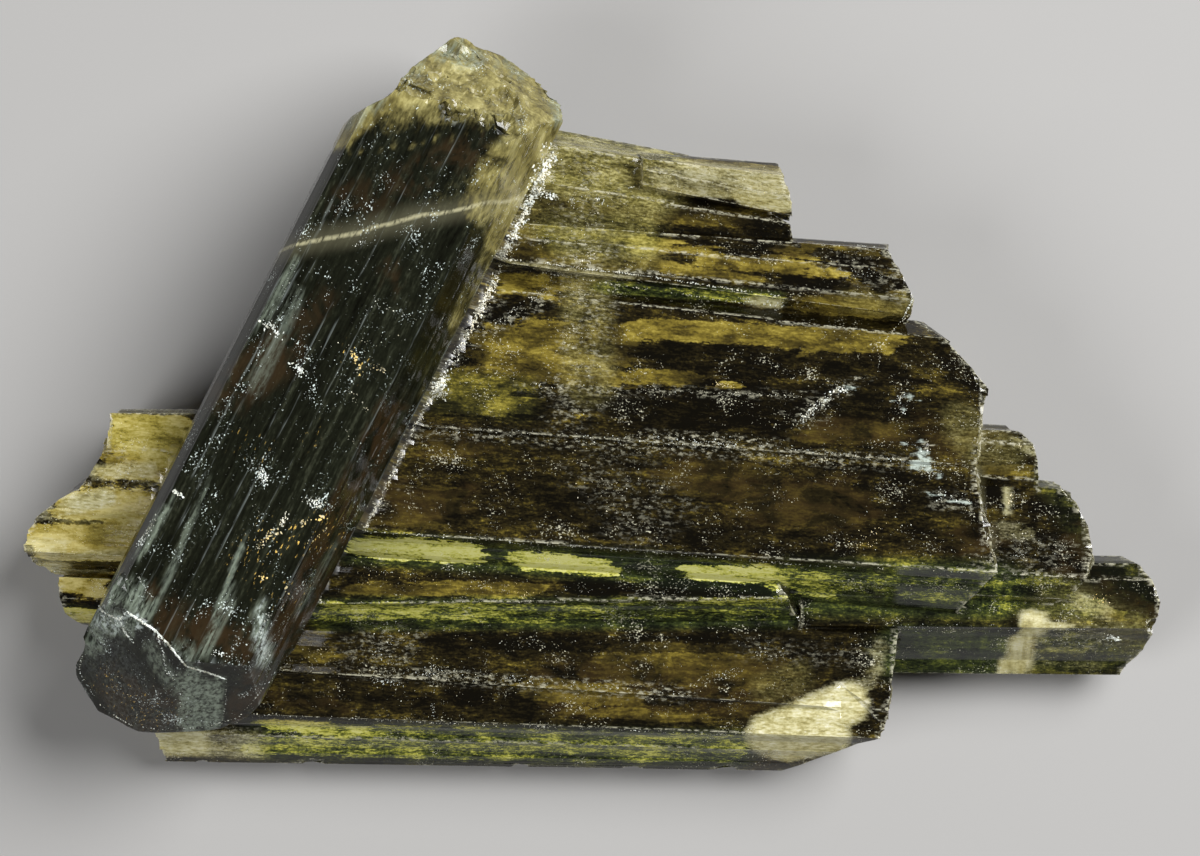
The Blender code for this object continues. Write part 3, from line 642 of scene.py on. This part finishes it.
dustAndGlintTrails = [
    ((430, 430, 640, 441), 5, 170, 20, 45, 1), ((640, 441, 770, 445), 6, 260, 20, 50, 0),
    ((770, 447, 915, 462), 2.5, 110, 20, 45, 1), ((520, 385, 690, 392, 800, 396), 2.5, 150, 20, 40, 3),
    ((360, 531, 560, 545, 700, 556), 1.6, 230, 25, 55, 1),
    ((700, 556, 800, 565, 987, 573), 1.2, 160, 20, 50, 2),
    ((320, 604, 600, 602, 780, 599), 1, 170, 20, 40, 3),
    ((250, 717, 400, 724, 560, 730, 735, 738), 1.4, 300, 20, 50, 2),
    ((400, 675, 560, 685, 690, 698), 3, 150, 20, 40, 1), ((400, 672, 540, 682), 8, 120, 15, 35, 0),
    ((800, 420, 842, 387), 5, 200, 30, 80, 1), ((835, 390, 850, 392), 4, 30, 20, 50, 0),
    ((898, 396, 906, 410), 5, 40, 20, 50, 0), ((924, 446, 931, 476, 940, 466), 6, 90, 20, 60, 0),
    ((938, 494, 968, 502), 7, 80, 20, 60, 1), ((600, 470, 650, 510), 40, 110, 15, 45, 4),
    ((570, 450, 590, 500), 16, 60, 15, 40, 5), ((590, 160, 575, 300), 24, 260, 15, 45, 3),
    ((600, 245, 583, 262), 9, 90, 20, 60, 4), ((596, 196, 610, 204), 4, 90, 30, 80, 1),
    ((570, 198, 578, 200), 4, 24, 20, 50, 1), ((625, 186, 645, 186), 2.5, 30, 20, 50, 2),
    ((500, 258, 640, 275, 780, 296), 1, 420, 30, 60, 2),
    ((525, 270, 650, 289, 760, 305), 0.8, 230, 20, 50, 3), ((740, 298, 785, 304), 5, 110, 20, 50, 1),
    ((858, 244, 884, 247, 902, 264, 914, 298, 904, 318), 0.9, 230, 30, 60, 1),
    ((480, 336, 510, 312, 545, 290), 3.5, 110, 20, 45, 2), ((640, 358, 665, 364), 7, 60, 15, 45, 5),
    ((715, 384, 732, 386), 3, 40, 20, 50, 8),
    ((878, 373, 882, 345, 899, 324, 911, 314), 0.9, 90, 20, 35, 3),
    ((982, 412, 980, 440, 977, 476), 1.6, 70, 20, 45, 3), ((840, 250, 880, 255), 8, 60, 15, 35, 4),
    ((840, 270, 890, 280), 9, 70, 15, 35, 1), ((850, 545, 880, 535), 9, 70, 20, 45, 7),
    ((890, 520, 980, 560), 16, 90, 15, 40, 3), ((985, 515, 1003, 545, 985, 565), 3, 80, 20, 45, 4),
    ((1012, 490, 1010, 512), 3, 30, 20, 50, 6), ((1018, 530, 1032, 534), 4, 34, 20, 60, 2),
    ((1015, 550, 1030, 558), 8, 60, 15, 45, 2), ((1042, 578, 1046, 594, 1038, 616), 1.6, 60, 20, 40, 5),
    ((1010, 500, 1060, 560), 26, 130, 15, 40, 2), ((1015, 440, 1032, 452), 6, 60, 20, 50, 5),
    ((1010, 632, 1090, 631), 1.2, 80, 20, 40, 1), ((900, 629, 1008, 629), 4, 110, 15, 40, 1),
    ((1112, 638, 1126, 642), 3, 60, 40, 120, 0), ((1050, 640, 1140, 655), 12, 90, 15, 35, 1),
    ((1100, 600, 1114, 606), 7, 34, 20, 50, 9), ((360, 575, 540, 590), 10, 170, 15, 40, 9),
    ((560, 590, 765, 592), 7, 170, 12, 28, 1), ((370, 572, 412, 574), 2, 30, 20, 45, 0),
    ((440, 568, 470, 572), 2.5, 24, 20, 45, 0), ((375, 640, 392, 655), 20, 170, 15, 50, 2),
    ((310, 650, 330, 668), 14, 90, 15, 45, 6), ((370, 681, 396, 687), 4, 60, 20, 55, 0),
    ((300, 680, 860, 690), 34, 420, 12, 30, 3), ((430, 640, 860, 650), 12, 170, 12, 30, 1),
    ((430, 705, 432, 722), 3, 24, 15, 40, 1), ((720, 680, 745, 672), 5, 40, 15, 40, 1),
    ((395, 350, 1000, 540), 90, 330, 10, 28, 2), ((640, 200, 900, 330), 70, 220, 10, 28, 5),
    ((60, 500, 180, 430), 40, 110, 12, 35, 3), ((100, 470, 145, 475), 10, 70, 15, 45, 1),
    ((25, 552, 118, 556), 2, 90, 15, 40, 1), ((35, 568, 58, 576), 5, 40, 20, 50, 0),
    ((112, 410, 192, 409), 2, 70, 15, 35, 1),
    ((103, 604, 114, 612, 126, 617, 134, 609, 147, 617, 161, 626), 0.8, 420, 40, 90, 0),
    ((161, 626, 175, 640, 193, 663), 0.7, 330, 40, 90, 0),
    ((193, 663, 213, 669, 231, 676), 0.7, 260, 40, 80, 0),
    ((126, 617, 131, 630, 140, 640), 1, 90, 30, 70, 0),
    ((165, 632, 170, 650, 172, 668), 0.8, 90, 30, 60, 0),
    ((84, 655, 80, 670, 95, 698, 108, 712, 130, 724, 160, 729), 0.7, 170, 20, 50, 1),
    ((160, 729, 205, 727, 240, 716, 262, 692, 280, 660), 0.7, 150, 20, 50, 1),
    ((231, 676, 229, 700, 222, 726), 0.7, 36, 20, 35, 1),
    ((191, 667, 183, 700, 178, 724), 1.2, 34, 20, 45, 1),
    ((143, 570, 155, 590, 168, 600), 1, 50, 20, 40, 0), ((100, 590, 128, 620), 10, 130, 20, 55, 0),
    ((130, 620, 138, 640), 4, 34, 20, 45, 0), ((174, 668, 180, 676), 3, 70, 30, 70, 0),
    ((220, 648, 234, 652), 4, 90, 30, 70, 0), ((275, 606, 264, 640, 272, 656), 4, 80, 20, 50, 0),
    ((145, 545, 165, 512), 3, 90, 40, 100, 0), ((180, 490, 190, 494), 2, 40, 40, 110, 0),
    ((266, 472, 272, 480), 5, 110, 30, 70, 0), ((312, 499, 326, 505), 5, 110, 30, 70, 1),
    ((291, 512, 286, 524), 3, 80, 30, 70, 3), ((284, 526, 262, 546), 5, 60, 30, 90, 8),
    ((305, 522, 330, 516), 3, 70, 50, 110, 10), ((312, 540, 330, 528), 3, 60, 40, 100, 10),
    ((262, 574, 272, 576), 1.5, 30, 40, 100, 10), ((291, 584, 293, 592), 2, 30, 40, 100, 10),
    ((356, 352, 364, 374), 3, 60, 40, 110, 10), ((372, 366, 390, 372), 3, 30, 20, 50, 6),
    ((298, 366, 308, 374), 5, 90, 30, 70, 0), ((268, 324, 288, 338), 5, 80, 40, 100, 0),
    ((300, 266, 284, 300), 4, 44, 15, 40, 0), ((388, 262, 394, 280), 4, 30, 15, 45, 0),
    ((372, 302, 420, 320), 5, 70, 15, 50, 1), ((340, 350, 400, 345), 10, 60, 15, 45, 3),
    ((350, 390, 372, 410), 4, 36, 15, 40, 4), ((342, 425, 360, 445), 3, 30, 15, 40, 3),
    ((355, 248, 372, 246), 3, 30, 15, 45, 0), ((450, 90, 520, 110), 24, 150, 15, 40, 2),
    ((372, 112, 352, 128), 5, 40, 15, 40, 0), ((538, 74, 552, 82), 5, 110, 30, 90, 0),
    ((400, 180, 220, 560), 60, 420, 10, 28, 1), ((120, 670, 170, 720), 26, 90, 12, 35, 6),
]


def makeCrumbs(settings, trails, trees):
    chance = random.Random(settings["seed"])
    spots = []
    for path, half, count, smallest, largest, warmth in trails:
        points = [Vector(spot(*place)) for place in zip(path[::2], path[1::2])]
        smallest, largest, warmth = smallest / 1000, largest / 1000, warmth / 10
        for number in range(int(count * settings["density"])):
            part = chance.randrange(len(points) - 1)
            place = points[part].lerp(points[part + 1], chance.random())
            reach = half * photo["pixel"]
            place += Vector((chance.gauss(0, 0.5), chance.gauss(0, 0.5))) * reach
            size = (smallest + (largest - smallest) * chance.random() ** 3) * settings["scale"]
            sparse = noise.noise(Vector((place.x, place.y, 0)) * 1.4) < chance.uniform(-0.55, 0.30)
            hit = None if sparse else highestPoint(place, trees)
            if hit:
                spots.append((hit[0], hit[1], size, min(max(warmth + chance.uniform(-0.2, 0.2), 0), 1)))
    bm = bmesh.new()
    bmesh.ops.create_icosphere(bm, subdivisions=1, radius=1.0)
    corners = len(bm.verts)
    while len(bm.verts) < corners * len(spots):
        bmesh.ops.duplicate(bm, geom=bm.verts[:] + bm.edges[:] + bm.faces[:])
    bm.verts.ensure_lookup_table()
    for number, (place, normal, size, warmth) in enumerate(spots):
        turn = normal.to_track_quat("Z", "X") @ Vector((0, 0, 1)).rotation_difference(Vector((
            chance.uniform(-0.4, 0.4), chance.uniform(-0.4, 0.4), 1)))
        turn = turn.to_matrix() @ Matrix.Rotation(chance.uniform(0, math.tau), 3, "Z")
        turn = turn @ Matrix.Diagonal((chance.uniform(0.7, 1.5), chance.uniform(0.5, 0.9), 0.45))
        for vert in bm.verts[number * corners:(number + 1) * corners]:
            bent = vert.co * chance.uniform(0.75, 1.2)
            vert.co = place + (turn @ bent + normal * 0.15) * size * mm
    bmesh.ops.delete(bm, geom=bm.verts[len(spots) * corners:], context="VERTS")
    piece = pieceFromBmesh(settings["name"], bm)
    setAttribute(piece.data, "warmth", np.repeat([item[3] for item in spots], corners))
    return piece


def highestPoint(place, trees):
    top = Vector((place.x, place.y, 20)) * mm
    hits = [tree.ray_cast(top, Vector((0, 0, -1))) for tree in trees]
    hits = [(hit[0], hit[1]) for hit in hits if hit[0] is not None]
    return max(hits, key=lambda hit: hit[0].z) if hits else None


# small helpers for the materials' nodes

def addNode(tree, kind, settings=None, inputs=None):
    node = tree.nodes.new("ShaderNode" + kind)
    for name, value in (settings or {}).items():
        setattr(node, name, value)
    for name, value in (inputs or {}).items():
        if isinstance(value, bpy.types.NodeSocket):
            tree.links.new(value, node.inputs[name])
        else:
            node.inputs[name].default_value = value
    return node


def attribute(tree, name, output="Fac"):
    return addNode(tree, "Attribute", {"attribute_name": name}).outputs[output]


def maths(tree, operation, first, second=0.0):
    return addNode(tree, "Math", {"operation": operation}, {0: first, 1: second}).outputs[0]


def times(tree, first, second):
    return maths(tree, "MULTIPLY", first, second)


def minus(tree, first, second):
    return maths(tree, "SUBTRACT", first, second)


def larger(tree, first, second):
    return maths(tree, "MAXIMUM", first, second)


def total(tree, *parts):  # the sum of values, each times its weight
    result = 0.0
    for value, weight in parts:
        result = maths(tree, "ADD", result, times(tree, value, weight))
    return result


def turnedPlace(tree, turn):  # object coordinates in millimetres, turned level
    coords = addNode(tree, "TexCoord").outputs["Object"]
    return addNode(tree, "Mapping", None, {
        "Vector": coords, "Rotation": (0, 0, math.radians(turn)), "Scale": (1000, 1000, 1000),
    }).outputs[0]


def scaled(tree, place, scale, shift=(0, 0, 0)):
    return addNode(tree, "Mapping", None, {
        "Vector": place, "Scale": scale, "Location": shift}).outputs[0]


def noiseAt(tree, place, scale, detail, roughness, bend=0.0, shift=(0, 0, 0)):
    return addNode(tree, "TexNoise", None, {
        "Vector": scaled(tree, place, scale, shift), "Scale": 1.0, "Detail": detail,
        "Roughness": roughness, "Distortion": bend,
    }).outputs["Fac"]


def cellAt(tree, vector):  # square-cornered cells, each with its own random value
    cell = addNode(tree, "TexVoronoi", {"distance": "CHEBYCHEV"}, {"Vector": vector, "Scale": 1.0})
    return addNode(tree, "SeparateColor", None, {"Color": cell.outputs["Color"]}).outputs[0]


def between(tree, value, low, high):  # 0 at low, 1 at high, smooth in between
    return addNode(tree, "MapRange", {"interpolation_type": "SMOOTHSTEP"}, {
        "Value": value, "From Min": low, "From Max": high}).outputs["Result"]


def ramp(tree, value, stops):
    node = addNode(tree, "ValToRGB", None, {"Fac": value})
    while len(node.color_ramp.elements) < len(stops):
        node.color_ramp.elements.new(0.5)
    for element, (position, colour) in zip(node.color_ramp.elements, stops):
        element.position = position
        element.color = (*colour, 1.0)
    return node.outputs["Color"]


def blendColour(tree, share, first, second):
    node = addNode(tree, "Mix", {"data_type": "RGBA", "clamp_factor": True})
    for socket, value in ((node.inputs[0], share), (node.inputs[6], first), (node.inputs[7], second)):
        if isinstance(value, bpy.types.NodeSocket):
            tree.links.new(value, socket)
        else:
            socket.default_value = value
    return node.outputs[2]


def glitter(tree, place, scale, level):  # bright flecks of uneven size, gathered in loose patches: painted sparkle, with white dust specks among it
    spark = noiseAt(tree, place, scale, 2.0, 0.75)
    patch = noiseAt(tree, place, (0.9, 1.1, 1.1), 3.0, 0.65, 0.0, (3, 1, 4))
    both = total(tree, (spark, 1.0), (patch, 0.7))
    return between(tree, both, level, level + 0.05)


def crystalMaterial(name, look):
    material, tree, shader = newMaterial(name)
    setSockets(shader, {
        "Transmission Weight": look["transmission"], "IOR": look["ior"],
        "Specular IOR Level": look["gloss"]})
    absorption = addNode(tree, "VolumeAbsorption", None, {
        "Color": look["absorbColour"], "Density": look["absorbDensity"]})
    tree.links.new(absorption.outputs[0], tree.nodes["Material Output"].inputs["Volume"])
    return material, tree, shader


def finishShader(tree, shader, tint, rough, hair, strength):
    tree.links.new(tint, shader.inputs["Base Color"])
    tree.links.new(rough, shader.inputs["Roughness"])
    bump = addNode(tree, "Bump", None, {
        "Strength": strength, "Distance": 0.02 * mm, "Height": hair})
    tree.links.new(bump.outputs[0], shader.inputs["Normal"])


plateLook = {
    "transmission": 0.6,
    "ior": 1.62,
    "gloss": 0.08,
    "roughness": 0.06,
    "striae": 0.11,  # strength of the finest striae, as bump
    "absorbColour": (0.68, 0.58, 0.20, 1.0),
    "absorbDensity": 600.0,
    "goldRamp": [(0.10, (0.004, 0.003, 0.001)), (0.33, (0.022, 0.0165, 0.005)),
                 (0.50, (0.090, 0.067, 0.013)), (0.64, (0.25, 0.19, 0.030)),
                 (0.80, (0.51, 0.405, 0.080)), (1.0, (0.90, 0.78, 0.30))],
    "greenRamp": [(0.10, (0.008, 0.011, 0.005)), (0.34, (0.045, 0.060, 0.018)),
                  (0.48, (0.14, 0.165, 0.030)), (0.62, (0.40, 0.41, 0.060)),
                  (0.78, (0.76, 0.74, 0.14)), (1.0, (0.93, 0.91, 0.32))],
    "mistRamp": [(0.20, (0.11, 0.090, 0.022)), (0.50, (0.30, 0.260, 0.075)), (0.80, (0.64, 0.59, 0.26))],
    "rust": (0.060, 0.036, 0.011, 1.0),
    "creamRamp": [(0.15, (0.20, 0.165, 0.050)), (0.42, (0.48, 0.425, 0.165)),
                  (0.60, (0.74, 0.69, 0.36)), (0.85, (0.98, 0.95, 0.70))],
    "frost": (0.84, 0.81, 0.60, 1.0),
    # colour of the painted reflections off inner cracks
    "flash": (0.66, 0.76, 0.68, 1.0),
}


def makePlateMaterial():
    look = plateLook
    material, tree, shader = crystalMaterial("oliveEpidote", look)
    grain = attribute(tree, "grain", "Vector")
    streak = noiseAt(tree, grain, (0.16, 1.6, 1.3), 4.0, 0.62, 0.15)
    block = cellAt(tree, scaled(tree, grain, (0.36, 1.5, 0.8)))
    strand = noiseAt(tree, grain, (1.0, 4.2, 3.6), 3.0, 0.6)
    fine = noiseAt(tree, grain, (4.0, 13.0, 12.0), 3.0, 0.6)
    cloud = noiseAt(tree, grain, (0.8, 1.3, 1.0), 4.0, 0.62, 0.6)
    upright = noiseAt(tree, grain, (5.0, 1.1, 1.0), 3.0, 0.6, 0.4)
    along = addNode(tree, "SeparateXYZ", None, {"Vector": grain}).outputs[0]
    lines = addNode(tree, "Mix", {"data_type": "FLOAT"}, {
        0: times(tree, between(tree, along, 10.5, 11.5), 0.6), 2: fine, 3: upright}).outputs[0]
    grit = noiseAt(tree, grain, (11.0, 17.0, 16.0), 2.0, 0.65)
    wobble = total(tree, (strand, 0.9), (streak, 0.5), (fine, 0.5), (grit, 0.4))
    lightEdge = total(tree, (attribute(tree, "lightBorder"), 1.0), (wobble, 1.0))
    lightEdge = between(tree, lightEdge, 1.50, 1.84)
    shadeEdge = total(tree, (attribute(tree, "shadeBorder"), 1.0), (wobble, -1.0))
    shadeEdge = between(tree, shadeEdge, -0.74, -0.50)
    # painted light: the light strokes brighten the tone as if light came through
    light = times(tree, attribute(tree, "light"), lightEdge)
    shade = times(tree, attribute(tree, "shade"), shadeEdge)
    texture = total(tree, (strand, 0.65), (lines, 0.70), (grit, 0.60))
    calm = minus(tree, 0.5, times(tree, attribute(tree, "green"), 1.1))
    calm = times(tree, lightEdge, calm)  # golden windows are smoother inside, green ones aren't
    texture = times(tree, minus(tree, texture, 0.975), minus(tree, 1.0, calm))
    tone = total(tree, (texture, 1.0), (streak, 0.45), (block, 0.10), (cloud, 0.85),
                 (light, 0.46), (shade, -0.30))
    tone = minus(tree, tone, 0.43)
    gold = ramp(tree, tone, look["goldRamp"])
    rust = times(tree, attribute(tree, "rust"), between(tree, cloud, 0.38, 0.60))
    gold = blendColour(tree, times(tree, rust, 0.6), gold, look["rust"])
    tint = blendColour(tree, attribute(tree, "green"), gold, ramp(tree, tone, look["greenRamp"]))

    grainy = total(tree, (cloud, 0.6), (grit, 0.6), (fine, 0.4))
    mist = times(tree, attribute(tree, "mist"), between(tree, grainy, 0.45, 1.05))
    mistTone = minus(tree, total(tree, (fine, 0.9), (cloud, 0.6), (grit, 0.5)), 0.50)
    tint = blendColour(tree, mist, tint, ramp(tree, mistTone, look["mistRamp"]))
    milky = total(tree, (attribute(tree, "cream"), 1.0), (cloud, 0.9), (grit, 0.7), (strand, 0.7))
    cloudy = times(tree, attribute(tree, "cream"), between(tree, milky, 1.25, 1.75))
    cloudy = larger(tree, cloudy, times(tree, attribute(tree, "broken"), 0.22))
    creamTone = minus(tree, total(tree, (lines, 1.1), (cloud, 0.7), (grit, 0.5)), 0.60)
    tint = blendColour(tree, cloudy, tint, ramp(tree, creamTone, look["creamRamp"]))

    gritty = noiseAt(tree, grain, (5.0, 9.0, 9.0), 3.0, 0.7)
    veil = times(tree, attribute(tree, "veil"), between(tree, gritty, 0.50, 0.68))
    seat = between(tree, attribute(tree, "seat"), 0.0, 0.5)
    ridge = times(tree, attribute(tree, "ridge"), minus(tree, 1.0, seat))
    # painted highlight: pale dotted lines along the ridges
    ridgeHighlight = times(tree, ridge, between(tree, gritty, 0.44, 0.60))
    pale = larger(tree, times(tree, veil, 0.6), times(tree, ridgeHighlight, 0.7))
    # painted sparkle, mixed with white dust specks
    flecks = glitter(tree, grain, (15.0, 19.0, 18.0), 1.05)
    pale = larger(tree, pale, times(tree, flecks, 0.85))
    tint = blendColour(tree, pale, tint, look["frost"])
    # painted reflection: inner cracks flashing pale teal
    flash = between(tree, total(tree, (attribute(tree, "flash"), 1.0), (gritty, 1.4)), 1.25, 1.85)
    tint = blendColour(tree, flash, tint, look["flash"])

    rough = total(tree, (cloudy, 0.25), (pale, 0.30), (attribute(tree, "broken"), 0.15), (seat, 0.9))
    rough = maths(tree, "ADD", rough, look["roughness"])
    hair = noiseAt(tree, grain, (0.8, 22.0, 22.0), 2.0, 0.65)
    finishShader(tree, shader, tint, rough, hair, look["striae"])
    return material


crossLook = {
    "transmission": 0.35,
    "ior": 1.62,
    "gloss": 0.045,
    "roughness": 0.05,
    "striae": 0.13,
    "absorbColour": (0.42, 0.42, 0.30, 1.0),
    "absorbDensity": 1500.0,
    "darkRamp": [(0.28, (0.002, 0.002, 0.001)), (0.48, (0.008, 0.009, 0.005)),
                 (0.60, (0.028, 0.031, 0.019)), (0.80, (0.13, 0.15, 0.11))],
    "tanRamp": [(0.25, (0.070, 0.058, 0.018)), (0.46, (0.215, 0.185, 0.062)),
                (0.60, (0.37, 0.33, 0.13)), (0.78, (0.68, 0.63, 0.36))],
    "peat": (0.032, 0.019, 0.008, 1.0),
    "haze": (0.24, 0.285, 0.225, 1.0),
    # colour of the painted glints
    "gold": (0.80, 0.52, 0.12, 1.0),
    "frost": (0.78, 0.88, 0.84, 1.0),
    "cream": (0.50, 0.47, 0.29, 1.0),
    "healPoint": (-6.175, 5.155),  # the healed crack crosses the upper face here
    "healNormal": 102.3,  # degrees, the direction it looks in
    "healWidth": 0.12,
}


def planeDistance(tree, point, angle):  # millimetres from an upright plane
    along = addNode(tree, "SeparateXYZ", None, {"Vector": turnedPlace(tree, -angle)}).outputs[0]
    turned = Matrix.Rotation(math.radians(-angle), 2) @ Vector(point)
    return minus(tree, along, turned.x)


def makeCrossMaterial():
    look = crossLook
    material, tree, shader = crystalMaterial("darkEpidote", look)
    place = turnedPlace(tree, -cross["turn"])
    streak = noiseAt(tree, place, (0.10, 2.2, 2.2), 4.0, 0.65, 0.1)
    strand = noiseAt(tree, place, (0.3, 7.0, 7.0), 3.0, 0.6)
    cloud = noiseAt(tree, place, (1.2, 1.4, 1.4), 4.0, 0.6, 0.5)
    fine = noiseAt(tree, place, (4.0, 12.0, 12.0), 4.0, 0.65)

    tone = total(tree, (streak, 0.55), (strand, 0.40), (fine, 0.45), (attribute(tree, "haze"), 0.10))
    tone = minus(tree, tone, 0.26)
    tint = ramp(tree, tone, look["darkRamp"])
    brown = times(tree, attribute(tree, "brown"), between(tree, cloud, 0.36, 0.58))
    tint = blendColour(tree, times(tree, brown, 0.85), tint, look["peat"])
    tanTone = total(tree, (cloud, 1.0), (fine, 0.45), (streak, 0.2))
    tanTone = minus(tree, tanTone, 0.40)
    milky = total(tree, (attribute(tree, "tan"), 1.0), (cloud, 1.3), (fine, 0.7))
    pale = times(tree, between(tree, attribute(tree, "tan"), -0.05, 0.75), between(tree, milky, 1.05, 1.75))
    tint = blendColour(tree, pale, tint, ramp(tree, tanTone, look["tanRamp"]))
    wispy = between(tree, total(tree, (strand, 0.5), (fine, 0.5)), 0.36, 0.62)
    haze = times(tree, attribute(tree, "haze"), wispy)
    tint = blendColour(tree, times(tree, haze, 0.8), tint, look["haze"])

    wander = noiseAt(tree, place, (0.5, 0.5, 0.5), 3.0, 0.5)
    offset = total(tree, (planeDistance(tree, look["healPoint"], look["healNormal"]), 1.0), (wander, 0.4))
    offset = maths(tree, "ABSOLUTE", minus(tree, offset, 0.20))
    healed = between(tree, offset, look["healWidth"], 0.0)
    healed = times(tree, healed, between(tree, fine, 0.30, 0.56))
    glow = between(tree, offset, look["healWidth"] * 5, 0.0)
    healed = larger(tree, healed, times(tree, glow, 0.16))
    tint = blendColour(tree, times(tree, healed, 0.62), tint, look["cream"])

    # painted glints: gold light off inner cracks
    glint = times(tree, attribute(tree, "glint"), between(tree, fine, 0.62, 0.69))
    tint = blendColour(tree, glint, tint, look["gold"])
    gritty = noiseAt(tree, place, (5.0, 9.0, 9.0), 3.0, 0.7)
    wisp = noiseAt(tree, place, (0.9, 9.0, 9.0), 2.0, 0.6)
    # painted highlight: faint pale lines along the ridges
    ridgeHighlight = times(tree, attribute(tree, "ridge"), between(tree, wisp, 0.46, 0.66))
    # painted sparkle, mixed with white dust specks
    flecks = glitter(tree, place, (14.0, 18.0, 18.0), 1.05)
    frosty = larger(tree, times(tree, ridgeHighlight, 0.12), times(tree, flecks, 0.8))
    crumbly = times(tree, attribute(tree, "chipped"), between(tree, gritty, 0.42, 0.60))
    frosty = larger(tree, frosty, times(tree, crumbly, 0.8))
    tint = blendColour(tree, frosty, tint, look["frost"])

    rough = total(tree, (pale, 0.10), (haze, 0.06), (frosty, 0.1), (attribute(tree, "broken"), 0.35))
    rough = maths(tree, "ADD", rough, look["roughness"])
    hair = noiseAt(tree, place, (0.5, 20.0, 20.0), 2.0, 0.6)
    finishShader(tree, shader, tint, rough, hair, look["striae"])
    return material


crumbLook = {
    "frost": (0.80, 0.86, 0.82, 1.0),
    # painted golden glints: the colour the warmest crumbs take
    "honey": (0.85, 0.62, 0.20, 1.0),
    "grey": (0.26, 0.26, 0.20, 1.0),
    "roughness": 0.3,
    "transmission": 0.35,
}


def makeCrumbMaterial():
    material, tree, shader = newMaterial("paleCrumbs")
    setSockets(shader, {
        "Roughness": crumbLook["roughness"], "Transmission Weight": crumbLook["transmission"]})
    grey = noiseAt(tree, turnedPlace(tree, 0), (2.6, 2.6, 2.6), 3.0, 0.7)
    tint = blendColour(tree, attribute(tree, "warmth"), crumbLook["frost"], crumbLook["honey"])
    tint = blendColour(tree, between(tree, grey, 0.42, 0.66), tint, crumbLook["grey"])
    tree.links.new(tint, shader.inputs["Base Color"])
    return material


setCamera()
makeStudio()
crossPiece, crossTree = makeCross()
finishPiece(crossPiece, makeCrossMaterial(), cross["node"])
platePiece, plateTree = makePlate(crossTree)
finishPiece(platePiece, makePlateMaterial(), plate["node"])
crumbMaterial = makeCrumbMaterial()
for settings, trails in ((crust, crustTrails), (dustAndGlints, dustAndGlintTrails)):
    crumbs = makeCrumbs(settings, trails, [plateTree, crossTree])
    finishPiece(crumbs, crumbMaterial)
